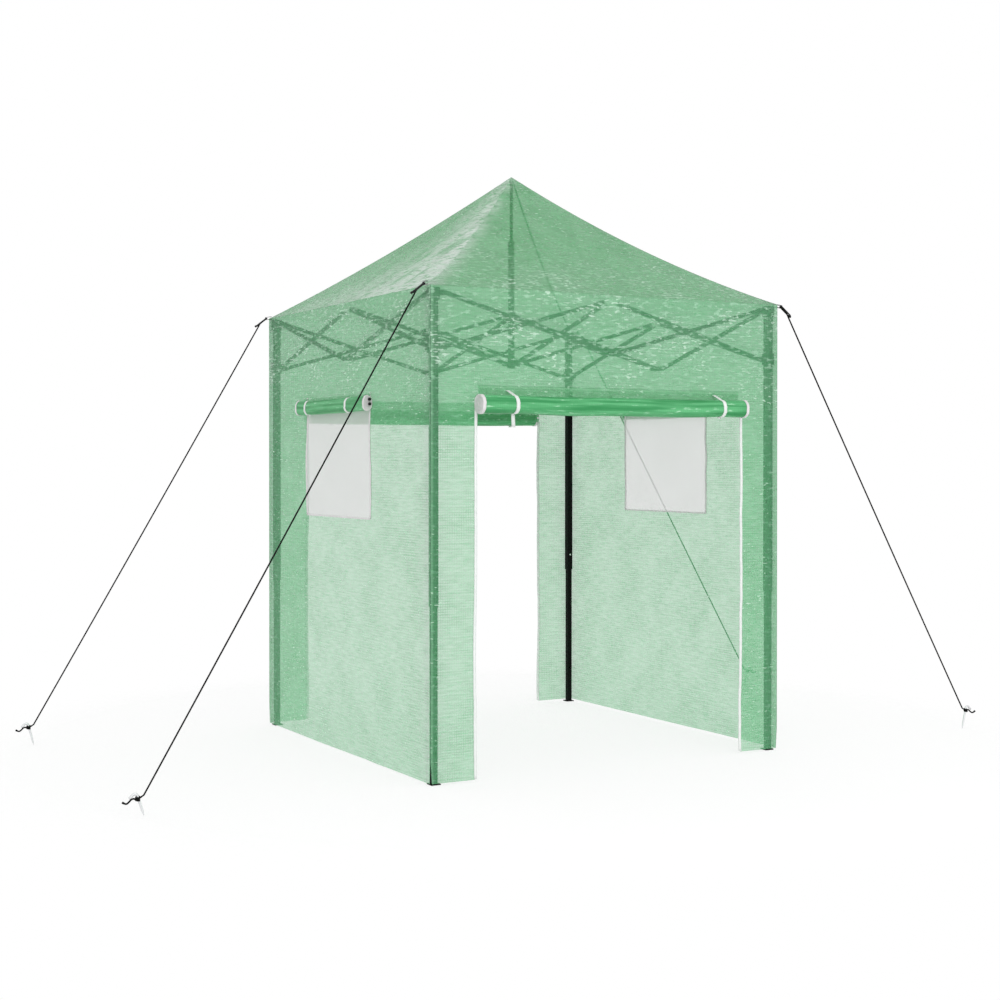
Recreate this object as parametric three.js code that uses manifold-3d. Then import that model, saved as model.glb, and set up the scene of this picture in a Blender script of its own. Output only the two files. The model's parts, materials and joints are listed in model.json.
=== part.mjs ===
// Mini pop-up greenhouse: four telescopic legs, a scissor frame that folds to the middle, a sewn
// cover of mesh-reinforced sheet with two roll-up doors and two roll-up windows, and four guy lines.
// Millimetres, +Z up, origin on the ground at the centre of the footprint. The front doorway faces -Y.
import * as THREE from "three";
import { mergeVertices } from "three/addons/utils/BufferGeometryUtils.js";
import Module from "manifold-3d";

// Cover
const COVER_HALF = 600; // half the cover's width, outside
const SHEET = 0.8;
const EAVE_Z = 1373;
const APEX_Z = 1810;
const ROOF_SAG = 20; // how far the roof dips between eave and apex
const ROOF_STEPS = 8;
const HEM_Z = 6;
const DOOR_HALF = 462;
const DOOR_TOP = 1035;
const DOOR_ROLL_Z = 1049;
const DOOR_ROLL_HALF = 464;
const DOOR_ROLL_RADIUS = 28;
const WINDOW_ROLL_Z = 1062;
const WINDOW_ROLL_HALF = 262;
const WINDOW_ROLL_RADIUS = 24;
const ROLL_BITE = 0.6; // how deep a roll sits in the sheet it is sewn to

// Scissor frame
const LEG_AT = 580; // leg axis from the centre, along X and along Y
const TOP_Z = 1355; // pivots of the brackets, the upper joints and the upper hub
const LOW_Z = 1205; // pivots of the sliders, the lower joints and the lower hub
const LEG_PIVOT = 32; // pivot from the leg axis
const MID_SPREAD = 15; // side-bar pivots from the middle of a side
const MID_REACH = 25; // inner-bar pivot from the side's truss plane
const HUB_PIVOT = 22; // pivot from the centre pole's axis
const SPAN = LEG_AT - LEG_PIVOT - MID_SPREAD;
const BAR_LENGTH = Math.hypot(SPAN, TOP_Z - LOW_Z);
const BAR_TILT = Math.atan2(TOP_Z - LOW_Z, SPAN);

// Bars, pins and lugs
const BAR_HIGH = 11;
const BAR_THICK = 8;
const BAR_WALL = 1;
const BAR_END = 6; // bar past its end pivot
const BAR_OFFSET = 4.5; // bar's middle plane from the truss plane
const PIN_RADIUS = 3;
const HOLE_RADIUS = 3.6;
const HEAD_RADIUS = 5;
const HEAD_THICK = 1.5;
const LUG_NEAR = 0.2; // lug's faces from the truss plane
const LUG_FAR = 6.2;
const LUG_HALF = 7;
const HEAD_AT = BAR_OFFSET + BAR_THICK / 2 + 0.5;

// Legs
const TUBE = 20;
const TUBE_WALL = 1.2;
const INNER_TUBE = 16.6;
const UPPER_BOTTOM = 490;
const LEG_TOP = 1368;
const INNER_TOP = 640;
const BRACKET_HALF = 13;
const BRACKET_LOW = TOP_Z - 20;
const SLIDER_HALF_HIGH = 17;
const SLIDER_BORE = 20.8;
const FOOT_OUT = 13;
const FOOT_IN = 16;
const FOOT_THICK = 3;
const BUTTON_Z = 545;
const BUTTON_RADIUS = 3;
const RETRACTION = 420; // travel of the inner tube, between its two button holes

// Centre pole and hubs
const POLE_RADIUS = 10;
const POLE_WALL = 1;
const POLE_TOP = 1600;
const ROD_RADIUS = 4.8;
const ROD_TOP = 1796;
const POLE_CAP_RADIUS = 8;
const HUB_RADIUS = 12;
const UPPER_HUB_BORE = 10.7;
const HUB_HALF_HIGH = 14;

// Guy lines
const TIE_X = 604; // rope's top end from the centre, along X
const TIE_Z = 1352;
const ROPE_REACH = 810; // peg from the rope's top end, sideways
const KNOT_Z = 62;
const ROPE_RADIUS = 2;
const TENSIONER_AT = 45; // tensioner's middle, down the rope
const PEG_RADIUS = 2.5;
const PEG_HOOK = 14;

const steel = new THREE.MeshStandardMaterial({ color: 0x17191a, roughness: 0.45, metalness: 0.6 });
const plastic = new THREE.MeshStandardMaterial({ color: 0x24282a, roughness: 0.6, metalness: 0 });
const nylon = new THREE.MeshStandardMaterial({ color: 0xd8e4dc, roughness: 0.55, metalness: 0 });
const sheet = new THREE.MeshStandardMaterial({ color: 0x7ccf9b, roughness: 0.35, metalness: 0 });
const zinc = new THREE.MeshStandardMaterial({ color: 0xc9ccd0, roughness: 0.3, metalness: 0.9 });
const cord = new THREE.MeshStandardMaterial({ color: 0x141414, roughness: 0.8, metalness: 0 });

const wasm = await Module();
wasm.setup();

// ---- solids ----

function solid(geometry) {
  const bare = geometry.clone();
  bare.deleteAttribute("normal");
  bare.deleteAttribute("uv");
  const merged = mergeVertices(bare, 1e-4);
  const triVerts = new Uint32Array(merged.index.array);
  const vertProperties = merged.attributes.position.array;
  return new wasm.Manifold(new wasm.Mesh({ numProp: 3, vertProperties, triVerts }));
}

function block(x0, x1, y0, y1, z0, z1) {
  const box = new THREE.BoxGeometry(x1 - x0, y1 - y0, z1 - z0);
  return solid(box.translate((x0 + x1) / 2, (y0 + y1) / 2, (z0 + z1) / 2));
}

// A round bar between two points.
function rod(from, to, radius, sides = 8) {
  const a = new THREE.Vector3(...from);
  const b = new THREE.Vector3(...to);
  const along = b.clone().sub(a);
  const shape = new THREE.CylinderGeometry(radius, radius, along.length(), sides);
  const turn = new THREE.Quaternion().setFromUnitVectors(
    new THREE.Vector3(0, 1, 0),
    along.normalize(),
  );
  return solid(shape.applyQuaternion(turn).translate(...a.add(b).multiplyScalar(0.5)));
}

function squareTube(outer, wall, z0, z1) {
  const o = outer / 2;
  const i = o - wall;
  return block(-o, o, -o, o, z0, z1).subtract(block(-i, i, -i, i, z0 - 1, z1 + 1));
}

function joined(pieces) {
  return pieces.reduce((sum, piece) => sum.add(piece));
}

function mesh(name, made, material) {
  const { vertProperties, triVerts } = made.getMesh();
  const geometry = new THREE.BufferGeometry();
  geometry.setAttribute("position", new THREE.BufferAttribute(new Float32Array(vertProperties), 3));
  geometry.setIndex(new THREE.BufferAttribute(new Uint32Array(triVerts), 1));
  geometry.computeVertexNormals();
  const result = new THREE.Mesh(geometry, material);
  result.name = name;
  return result;
}

// ---- scissor bars and their joints ----

// A bar along X between two pivots, thickness along Y. A bar with a pivot pin carries it towards +Y.
function barSolid(withPin) {
  const h = BAR_HIGH / 2;
  const t = BAR_THICK / 2;
  let bar = block(-BAR_END, BAR_LENGTH + BAR_END, -t, t, -h, h).subtract(
    block(-BAR_END - 1, BAR_LENGTH + BAR_END + 1, -t + BAR_WALL, t - BAR_WALL, -h + BAR_WALL, h - BAR_WALL),
  );
  const holes = withPin ? [0, BAR_LENGTH] : [0, BAR_LENGTH / 2, BAR_LENGTH];
  for (const x of holes) bar = bar.subtract(rod([x, -t - 1, 0], [x, t + 1, 0], HOLE_RADIUS, 8));
  if (!withPin) return bar;
  const x = BAR_LENGTH / 2;
  const far = BAR_OFFSET + HEAD_AT;
  return joined([
    bar,
    rod([x, -t - 1, 0], [x, far + HEAD_THICK, 0], PIN_RADIUS),
    rod([x, -t - HEAD_THICK, 0], [x, -t + 0.5, 0], HEAD_RADIUS),
    rod([x, far, 0], [x, far + HEAD_THICK, 0], HEAD_RADIUS),
  ]);
}

// A headed pin at (x, z) whose bar lies on the side of the truss plane that `side` names (-1 or +1).
function headedPin(x, z, side) {
  return rod([x, -side * LUG_NEAR * 2, z], [x, side * (HEAD_AT + 1), z], PIN_RADIUS).add(
    rod([x, side * HEAD_AT, z], [x, side * (HEAD_AT + HEAD_THICK), z], HEAD_RADIUS),
  );
}

// A plate across the truss plane from the bars that it holds.
function lug(x0, x1, z, side) {
  const [near, far] = [-side * LUG_NEAR, -side * LUG_FAR];
  return block(x0, x1, Math.min(near, far), Math.max(near, far), z - LUG_HALF, z + LUG_HALF);
}

// The joint block in the middle of a side: two side bars, and one inner bar that runs to the hub.
function midJoint(z, side) {
  const half = MID_SPREAD + LUG_HALF;
  const [a, b] = [-side * LUG_NEAR, -side * LUG_FAR];
  const arm = block(
    Math.min(a, b), Math.max(a, b),
    Math.min(a, b), MID_REACH + LUG_HALF,
    z - LUG_HALF, z + LUG_HALF,
  );
  const inner = headedPin(0, z, side).rotate([0, 0, -90]).translate([0, MID_REACH, 0]);
  return joined([
    lug(-half, half, z, side),
    headedPin(-MID_SPREAD, z, side),
    headedPin(MID_SPREAD, z, side),
    arm,
    inner,
  ]);
}

// A ring round the centre pole with four pinned lugs. `side` is the side of each truss its bars lie on.
function hub(z, side, bore) {
  const low = z - HUB_HALF_HIGH;
  const high = z + HUB_HALF_HIGH;
  let made = rod([0, 0, low], [0, 0, high], HUB_RADIUS, 16);
  for (let k = 0; k < 4; k++) {
    const arm = lug(HUB_RADIUS - 2, HUB_PIVOT + LUG_HALF, z, side);
    made = made.add(arm.add(headedPin(HUB_PIVOT, z, side)).rotate([0, 0, 90 * k + 90]));
  }
  return made.subtract(rod([0, 0, low - 1], [0, 0, high + 1], bore, 16));
}

// ---- legs: each is drawn for the front left corner, about its own axis ----

// Two lugs at right angles, one for each truss that meets the leg.
function cornerLugs(z, side) {
  const arm = lug(BRACKET_HALF - 2, LEG_PIVOT + LUG_HALF, z, side).add(headedPin(LEG_PIVOT, z, side));
  return arm.add(arm.mirror([1, -1, 0]));
}

function buttonHole(z) {
  return rod([0, 4, z], [0, TUBE, z], BUTTON_RADIUS + 0.6);
}

function upperLeg() {
  const tube = squareTube(TUBE, TUBE_WALL, UPPER_BOTTOM, LEG_TOP).subtract(buttonHole(BUTTON_Z));
  const b = BRACKET_HALF;
  const i = TUBE / 2 - TUBE_WALL / 2;
  const collar = block(-b, b, -b, b, BRACKET_LOW, LEG_TOP).subtract(
    block(-i, i, -i, i, BRACKET_LOW - 1, LEG_TOP + 1),
  );
  return joined([tube, collar, cornerLugs(TOP_Z, -1)]);
}

function lowerLeg() {
  const tube = squareTube(INNER_TUBE, TUBE_WALL, FOOT_THICK - 1, INNER_TOP);
  const foot = block(-FOOT_OUT, FOOT_IN, -FOOT_OUT, FOOT_IN, 0, FOOT_THICK);
  return tube
    .subtract(buttonHole(BUTTON_Z))
    .subtract(buttonHole(BUTTON_Z - RETRACTION))
    .add(foot);
}

function slider() {
  const b = BRACKET_HALF;
  const i = SLIDER_BORE / 2;
  const low = LOW_Z - SLIDER_HALF_HIGH;
  const high = LOW_Z + SLIDER_HALF_HIGH;
  return block(-b, b, -b, b, low, high)
    .add(cornerLugs(LOW_Z, 1))
    .subtract(block(-i, i, -i, i, low - 1, high + 1));
}

function button() {
  const face = TUBE / 2;
  const crown = rod([0, face + 1.2, BUTTON_Z], [0, face + 2, BUTTON_Z], BUTTON_RADIUS - 0.8);
  return rod([0, face - 1.5, BUTTON_Z], [0, face + 1.2, BUTTON_Z], BUTTON_RADIUS).add(crown);
}

// ---- centre pole ----

function pole() {
  const base = LOW_Z - HUB_HALF_HIGH;
  const bore = POLE_RADIUS - POLE_WALL;
  const profile = [
    [bore, base], [POLE_RADIUS, base], [POLE_RADIUS, POLE_TOP], [ROD_RADIUS, POLE_TOP + 3],
    [ROD_RADIUS, ROD_TOP - 6], [POLE_CAP_RADIUS, ROD_TOP - 4], [POLE_CAP_RADIUS - 2, ROD_TOP - 1],
    [0, ROD_TOP], [0, POLE_TOP - 20], [bore, POLE_TOP - 20], [bore, base],
  ].map(([r, z]) => new THREE.Vector2(r, z));
  return solid(new THREE.LatheGeometry(profile, 12).rotateX(Math.PI / 2));
}

// ---- cover ----

function roof() {
  const corner = COVER_HALF * Math.SQRT2;
  const skin = (r, drop) => {
    const slope = APEX_Z - (APEX_Z - EAVE_Z) * r - 4 * ROOF_SAG * r * (1 - r);
    return new THREE.Vector2(r * corner, slope - drop);
  };
  const steps = Array.from({ length: ROOF_STEPS + 1 }, (_, i) => i / ROOF_STEPS);
  const over = steps.map((r) => skin(r, 0));
  const under = steps.map((r) => skin(r, SHEET * 1.3));
  const profile = [...under, ...over.reverse()];
  return solid(new THREE.LatheGeometry(profile, 4, Math.PI / 4).rotateX(Math.PI / 2));
}

// A rolled-up panel along X, sewn to a wall whose outer face is at y = -COVER_HALF.
function roll(half, radius, z) {
  const y = -COVER_HALF - radius + ROLL_BITE;
  return rod([-half, y, z], [half, y, z], radius, 16);
}

function doorWall() {
  const out = -COVER_HALF;
  const wall = block(-COVER_HALF, COVER_HALF, out, out + SHEET, HEM_Z, EAVE_Z - 2);
  const doorway = block(-DOOR_HALF, DOOR_HALF, out - 1, out + 2, HEM_Z - 1, DOOR_TOP);
  return wall.subtract(doorway).add(roll(DOOR_ROLL_HALF, DOOR_ROLL_RADIUS, DOOR_ROLL_Z));
}

function windowWall() {
  const out = -COVER_HALF;
  const half = COVER_HALF - SHEET - 0.4;
  const wall = block(-half, half, out, out + SHEET, HEM_Z, EAVE_Z - 2);
  return wall.add(roll(WINDOW_ROLL_HALF, WINDOW_ROLL_RADIUS, WINDOW_ROLL_Z));
}

// ---- guy line: rope, tensioner and peg, drawn leaving towards -X from its tie ----

function guyLine() {
  const down = new THREE.Vector3(-ROPE_REACH, 0, KNOT_Z - TIE_Z).normalize();
  const at = (d) => [-TIE_X + down.x * d, 0, TIE_Z + down.z * d];
  const pegX = -TIE_X - ROPE_REACH;
  const top = KNOT_Z + PEG_HOOK;
  return joined([
    rod(at(0), at(Math.hypot(ROPE_REACH, TIE_Z - KNOT_Z)), ROPE_RADIUS, 6),
    rod(at(TENSIONER_AT - 18), at(TENSIONER_AT + 18), 5, 8),
    rod([pegX, 0, 0], [pegX, 0, top], PEG_RADIUS, 8),
    rod([pegX + PEG_RADIUS, 0, top], [pegX - PEG_HOOK, 0, top], PEG_RADIUS, 8),
    rod([pegX - PEG_HOOK, 0, top + PEG_RADIUS], [pegX - PEG_HOOK, 0, top - 12], PEG_RADIUS, 8),
  ]);
}

// ---- assembly ----

const greenhouse = new THREE.Group();
const SIDES = ["front", "right", "back", "left"];
const CORNERS = ["front_left", "front_right", "back_right", "back_left"];

// A group whose local frame has X along the side and Y inwards.
function turned(k) {
  const group = new THREE.Group();
  group.rotation.z = (k * Math.PI) / 2;
  greenhouse.add(group);
  return group;
}

// Puts a bar with its first pivot at `at`; `rise` is +1 if it climbs away from there, -1 if it falls.
function placeBar(group, name, made, at, heading, rise) {
  const bar = mesh(name, made, steel);
  bar.rotation.set(0, -rise * BAR_TILT, heading, "ZYX");
  bar.position.set(...at);
  group.add(bar);
}

const pinnedBar = barSolid(true);
const plainBar = barSolid(false);

SIDES.forEach((side, k) => {
  const group = turned(k);
  const outer = -LEG_AT - BAR_OFFSET;
  const inner = -LEG_AT + BAR_OFFSET;
  const [start, end] = [CORNERS[k], CORNERS[(k + 1) % 4]];
  const legX = LEG_AT - LEG_PIVOT;

  placeBar(group, `${side}_bar_high_at_${start}`, pinnedBar, [-legX, outer, TOP_Z], 0, -1);
  placeBar(group, `${side}_bar_low_at_${start}`, plainBar, [-legX, inner, LOW_Z], 0, 1);
  placeBar(group, `${side}_bar_high_at_${end}`, pinnedBar, [MID_SPREAD, outer, LOW_Z], 0, 1);
  placeBar(group, `${side}_bar_low_at_${end}`, plainBar, [MID_SPREAD, inner, TOP_Z], 0, -1);

  const out = -Math.PI / 2;
  placeBar(group, `${side}_inner_bar_high`, pinnedBar, [-BAR_OFFSET, -HUB_PIVOT, TOP_Z], out, -1);
  placeBar(group, `${side}_inner_bar_low`, plainBar, [BAR_OFFSET, -HUB_PIVOT, LOW_Z], out, 1);

  const top = mesh(`${side}_top_joint`, midJoint(TOP_Z, 1), nylon);
  const bottom = mesh(`${side}_bottom_joint`, midJoint(LOW_Z, -1), nylon);
  for (const joint of [top, bottom]) {
    joint.position.y = -LEG_AT;
    group.add(joint);
  }
});

greenhouse.add(mesh("upper_hub", hub(TOP_Z, -1, UPPER_HUB_BORE), plastic));
greenhouse.add(mesh("lower_hub", hub(LOW_Z, 1, POLE_RADIUS + 0.3), plastic));
greenhouse.add(mesh("centre_pole", pole(), steel));

const legPieces = [
  ["leg", upperLeg(), steel],
  ["lower_leg", lowerLeg(), steel],
  ["slider", slider(), plastic],
  ["leg_button", button(), zinc],
];
CORNERS.forEach((corner, k) => {
  const group = turned(k);
  for (const [name, made, material] of legPieces) {
    const piece = mesh(`${name}_${corner}`, made, material);
    piece.position.set(-LEG_AT, -LEG_AT, 0);
    group.add(piece);
  }
});

greenhouse.add(mesh("roof", roof(), sheet));
SIDES.forEach((side, k) => {
  turned(k).add(mesh(`${side}_wall`, k % 2 ? windowWall() : doorWall(), sheet));
});

// The lines leave sideways: those of the left corners towards -X, those of the right towards +X.
const line = guyLine();
CORNERS.forEach((corner) => {
  const guy = mesh(`guy_line_${corner}`, line, cord);
  if (corner.endsWith("right")) guy.rotation.z = Math.PI;
  guy.position.y = corner.startsWith("front") ? -LEG_AT : LEG_AT;
  greenhouse.add(guy);
});

export default greenhouse;
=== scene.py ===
"""Looks of the mini pop-up greenhouse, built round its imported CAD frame. Metres, +Z up, front door at -Y."""

import json
import math

import bpy
import numpy as np
from mathutils import Matrix, Vector, noise

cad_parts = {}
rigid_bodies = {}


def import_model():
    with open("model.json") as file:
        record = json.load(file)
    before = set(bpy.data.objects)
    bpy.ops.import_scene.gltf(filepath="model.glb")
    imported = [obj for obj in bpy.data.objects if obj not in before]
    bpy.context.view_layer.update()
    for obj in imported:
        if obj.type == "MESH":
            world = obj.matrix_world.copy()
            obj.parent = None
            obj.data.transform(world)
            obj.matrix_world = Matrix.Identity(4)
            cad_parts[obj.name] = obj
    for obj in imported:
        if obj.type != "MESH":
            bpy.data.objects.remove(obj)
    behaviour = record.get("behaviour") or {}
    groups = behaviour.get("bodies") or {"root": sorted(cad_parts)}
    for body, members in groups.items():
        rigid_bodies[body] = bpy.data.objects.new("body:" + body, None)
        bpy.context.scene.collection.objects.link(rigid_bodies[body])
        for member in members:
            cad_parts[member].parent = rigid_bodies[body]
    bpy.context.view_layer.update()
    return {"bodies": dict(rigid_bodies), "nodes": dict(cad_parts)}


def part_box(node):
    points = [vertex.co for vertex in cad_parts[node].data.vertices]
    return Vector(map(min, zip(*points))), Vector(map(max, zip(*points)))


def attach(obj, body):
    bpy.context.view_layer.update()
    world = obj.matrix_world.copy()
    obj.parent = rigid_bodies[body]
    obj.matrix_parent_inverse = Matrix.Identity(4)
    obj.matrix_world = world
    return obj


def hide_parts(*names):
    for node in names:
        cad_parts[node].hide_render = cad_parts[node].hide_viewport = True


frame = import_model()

# ---------------------------------------------------------------- sizes, from the frame

ROOF_LOW, ROOF_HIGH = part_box("roof")
HALF = ROOF_HIGH.x  # half the cover's width
EAVE = ROOF_LOW.z + 0.001  # the CAD sheet's underside is 1 mm lower
APEX = ROOF_HIGH.z - 0.0015  # the sheet's point, inside the thicker CAD one
BUTTON_RADIUS = 0.003
LEG_AT = -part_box("leg_button_front_left")[0].x - BUTTON_RADIUS  # leg axis from the centre
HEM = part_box("front_wall")[0].z
DOOR_ROLL_RADIUS = (-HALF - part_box("front_wall")[0].y) / 2
WINDOW_ROLL_RADIUS = (-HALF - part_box("left_wall")[0].x) / 2
GUY_LOW, GUY_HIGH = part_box("guy_line_front_left")

SIDES = ("front", "right", "back", "left")
CORNERS = ("front_left", "front_right", "back_right", "back_left")

# ---------------------------------------------------------------- details that the CAD sheets don't carry

ROOF_SAG = 0.02
ROOF_OVERLAP = 0.002  # how far the roof's edge stands out over the walls
SHEET_STEP = 0.02  # spacing of the points of a sheet
SEAM = 0.009  # width of a welded seam
STITCH = 0.002  # the dark line along its edge
GRID_PITCH = 0.0072  # reinforcing scrim of the sheet
BRACKET_REACH = 0.045  # how far a leg's corner bracket reaches in under the roof
SKIRT_TOP = 0.7  # the walls below this gather upwards when a leg is shortened
CORNER_SLIT = 0.07  # unsewn foot of each corner seam
CORNER_FLAP = 0.012
CORNER_SPREAD = 0.005  # how far each side of the slit opens
EDGE_REACH = 0.1  # how far from an opening the wander of its edge dies out
EDGE_FADE = 0.12  # how far below its top the wander starts to die out
TAPE_THICK = 0.003
TAPE_INSET = 0.0015  # how deep a binding sits in the sheet it wraps

DOOR_HALF = 0.462
DOOR_TOP = 1.036
DOOR_TAPE = 0.0085  # width of the white binding tape
DOOR_FLAP = 0.024  # panel between the door's top seam and its roll
DOOR_ROLL_Z = 1.049
DOOR_ROLL_MIDDLE = -0.007
DOOR_ROLL_HALF = 0.457
DOOR_STRAPS = (-0.345, 0.369)  # from the middle of the roll
DOOR_STRAP_TURN = (100, 190)  # degrees round the roll: where a strap starts, and how far it goes

WINDOW_HALF = 0.238
WINDOW_LOW = 0.72
WINDOW_TOP = 1.05
WINDOW_TAPE = 0.007
WINDOW_FLAP = 0.004
WINDOW_WAVE = 2.4  # how much more a window's edges wander along the wall than a door's
WINDOW_LOOSE = 0.4  # and how much less they stand out from it
WINDOW_MIDDLE = {"left": -0.024}  # windows that are sewn in off the middle of their side
WINDOW_ROLL_Z = 1.062
WINDOW_ROLL_MIDDLE = {"left": -0.036}
WINDOW_ROLL_HALF = 0.262
WINDOW_ROLL_FLATNESS = 0.62  # its depth as a share of its height
WINDOW_STRAPS = (-0.185, 0.125)
WINDOW_STRAP_TURN = (78, 212)

ROLL_AROUND = 40  # points round a roll
STRAP_HALF = 0.0056
STRAP_THICK = 0.0016
STRAP_TAIL = 0.036

TIE_AT = {  # each corner's tie: its distance from the middle, and its height over the top of the CAD's line
    "front_left": (0.610, 0.024),
    "front_right": (0.630, 0.016),
    "back_right": (0.618, 0.018),
    "back_left": (0.618, 0.018),
}
KNOT_HEIGHT = {"front_left": 0.044, "front_right": 0.062, "back_right": 0.062, "back_left": 0.056}
CORD_SAG = 0.004
TENSIONER_LONG = 0.042
PEG_HOOK = 0.014
CAD_PEG_RADIUS = 0.0025
PEG_RADIUS = 0.0034
PEG_LEAN = 0.016

# ---------------------------------------------------------------- material helpers


class Tree:
    """A material and its nodes. Values that are sockets are linked; others are set."""

    def __init__(self, name):
        self.material = bpy.data.materials.new(name)
        self.material.use_nodes = True
        self.nodes = self.material.node_tree.nodes
        self.links = self.material.node_tree.links
        self.nodes.clear()

    def add(self, kind, inputs=None, **settings):
        node = self.nodes.new("ShaderNode" + kind)
        for key, value in settings.items():
            setattr(node, key, value)
        for key, value in (inputs or {}).items():
            if isinstance(value, bpy.types.NodeSocket):
                self.links.new(value, node.inputs[key])
            else:
                node.inputs[key].default_value = value
        return node

    def math(self, operation, *values):
        return self.add("Math", dict(enumerate(values)), operation=operation).outputs[0]

    def times(self, a, b):
        return self.math("MULTIPLY", a, b)

    def times_plus(self, a, b, c):
        return self.math("MULTIPLY_ADD", a, b, c)

    def ramp(self, value, low, high):
        """0 at low and 1 at high, smooth between. low may be the larger one."""
        inputs = {"Value": value, "From Min": low, "From Max": high}
        return self.add("MapRange", inputs, interpolation_type="SMOOTHSTEP").outputs[0]

    def mix(self, factor, a, b):
        """Colour a where the factor is 0, and b where it is 1. The node's colours are its inputs 6 and 7."""
        return self.add("Mix", {0: factor, 6: a, 7: b}, data_type="RGBA").outputs[2]

    def mix_shader(self, factor, a, b):
        return self.add("MixShader", {0: factor, 1: a, 2: b}).outputs[0]

    def noise(self, vector, scale, detail=2.0):
        inputs = {"Vector": vector, "Scale": scale, "Detail": detail}
        return self.add("TexNoise", inputs).outputs[0]

    def scaled(self, vector, scale):
        return self.add("Mapping", {"Vector": vector, "Scale": scale}).outputs[0]

    def sheet_noise(self, uv, across, up, detail):
        """Noise over a sheet, with its own number of cells to the metre in each direction."""
        return self.noise(self.scaled(uv, (across, up, 1.0)), 1.0, detail)

    def uv(self):
        return self.add("UVMap", uv_map="sheet").outputs[0]

    def place(self):
        return self.add("TexCoord").outputs["Object"]

    def attribute(self, name):
        return self.add("Attribute", attribute_name=name).outputs["Fac"]

    def bump(self, height, strength, distance):
        inputs = {"Height": height, "Strength": strength, "Distance": distance}
        return self.add("Bump", inputs).outputs[0]

    def principled(self, **inputs):
        names = {key.replace("_", " "): value for key, value in inputs.items()}
        return self.add("BsdfPrincipled", names).outputs[0]

    def finish(self, shader):
        self.add("OutputMaterial", {"Surface": shader})
        return self.material

    def finish_sheet(self, cover, through, front, colour, normal):
        """A sheet with a clear share. The covered share lets light through as well as showing its front."""
        back = self.add("BsdfTranslucent", {"Color": colour, "Normal": normal}).outputs[0]
        body = self.mix_shader(through, front, back)
        clear = self.add("BsdfTransparent").outputs[0]
        return self.finish(self.mix_shader(cover, clear, body))


def rgb(r, g, b):
    return (r, g, b, 1.0)


def scrim(tree, uv, pitch, width):
    """The lines of a woven grid: 1 on a thread, 0 between."""
    parts = tree.add("SeparateXYZ", {0: uv})
    lines = []
    for axis in (0, 1):
        cell = tree.math("DIVIDE", parts.outputs[axis], pitch)
        lines.append(tree.ramp(tree.math("PINGPONG", cell, 0.5), width, 0.0))
    return tree.math("MAXIMUM", *lines)


# ---------------------------------------------------------------- the cover's film


class Film:
    """The marks on the laminated film, with the painted highlights, painted crinkle shade and painted
    reflection laid on it, each from 0 to 1 over the sheet.
    """

    def __init__(self, t):
        self.uv = t.uv()
        at = t.place()
        self.cloud = t.noise(self.uv, 3.2, 3.0)
        self.patch = t.ramp(t.noise(self.uv, 7.0, 3.0), 0.38, 0.66)
        # light: painted highlights on the crinkled film; dark: painted shade in its crinkles, as darker dashes
        self.light = t.ramp(t.sheet_noise(self.uv, 36.0, 105.0, 3.0), 0.52, 0.68)
        self.dark = t.ramp(t.sheet_noise(self.uv, 60.0, 120.0, 2.0), 0.46, 0.30)
        self.weft = t.ramp(t.sheet_noise(self.uv, 20.0, 170.0, 2.0), 0.36, 0.64)
        self.crinkle = t.sheet_noise(self.uv, 24.0, 52.0, 3.0)
        self.busy = self.creased_zone(t, at)
        self.glint = self.glints(t)
        self.thread = self.threads(t)
        self.seam, self.weld, self.painted_reflection = self.seams(t, at)

    def creased_zone(self, t, at):
        """The upper walls, where the film is creased over the folding frame."""
        height = t.add("SeparateXYZ", {0: at}).outputs[2]
        return t.times(t.ramp(height, 1.0, 1.22), t.ramp(height, 1.56, 1.42))

    def glints(self, t):
        """Small bright flecks, closer together where the film is creased."""
        flecks = t.sheet_noise(self.uv, 46.0, 150.0, 1.0)
        flecks = t.times_plus(t.times(self.busy, self.patch), 0.075, flecks)
        return t.times(t.ramp(flecks, 0.66, 0.71), t.times_plus(self.patch, 0.8, 0.2))

    def threads(self, t):
        """The woven grid, which shows more in some patches than in others."""
        shown = t.times_plus(self.busy, 0.22, t.times_plus(self.patch, 0.34, 0.17))
        return t.times(scrim(t, self.uv, GRID_PITCH, 0.26), shown)

    def seams(self, t, at):
        """The stitched line and the weld of each seam, and the painted whitish reflection that hides a
        stitched line.
        """
        from_seam = t.attribute("seam_distance")
        stitched = t.ramp(from_seam, STITCH, STITCH - 0.001)
        weld = t.times(t.ramp(from_seam, SEAM, SEAM - 0.002), t.math("SUBTRACT", 1.0, stitched))
        streaks = t.ramp(t.noise(t.scaled(at, (6.0, 15.0, 12.0)), 1.0, 5.0), 0.26, 0.56)
        streaks = t.times(streaks, t.ramp(t.sheet_noise(self.uv, 18.0, 90.0, 2.0), 0.25, 0.55))
        painted_reflection = t.times(t.attribute("painted_reflection"), streaks)
        return t.times(stitched, t.times_plus(painted_reflection, -0.8, 1.0)), weld, painted_reflection


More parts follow.
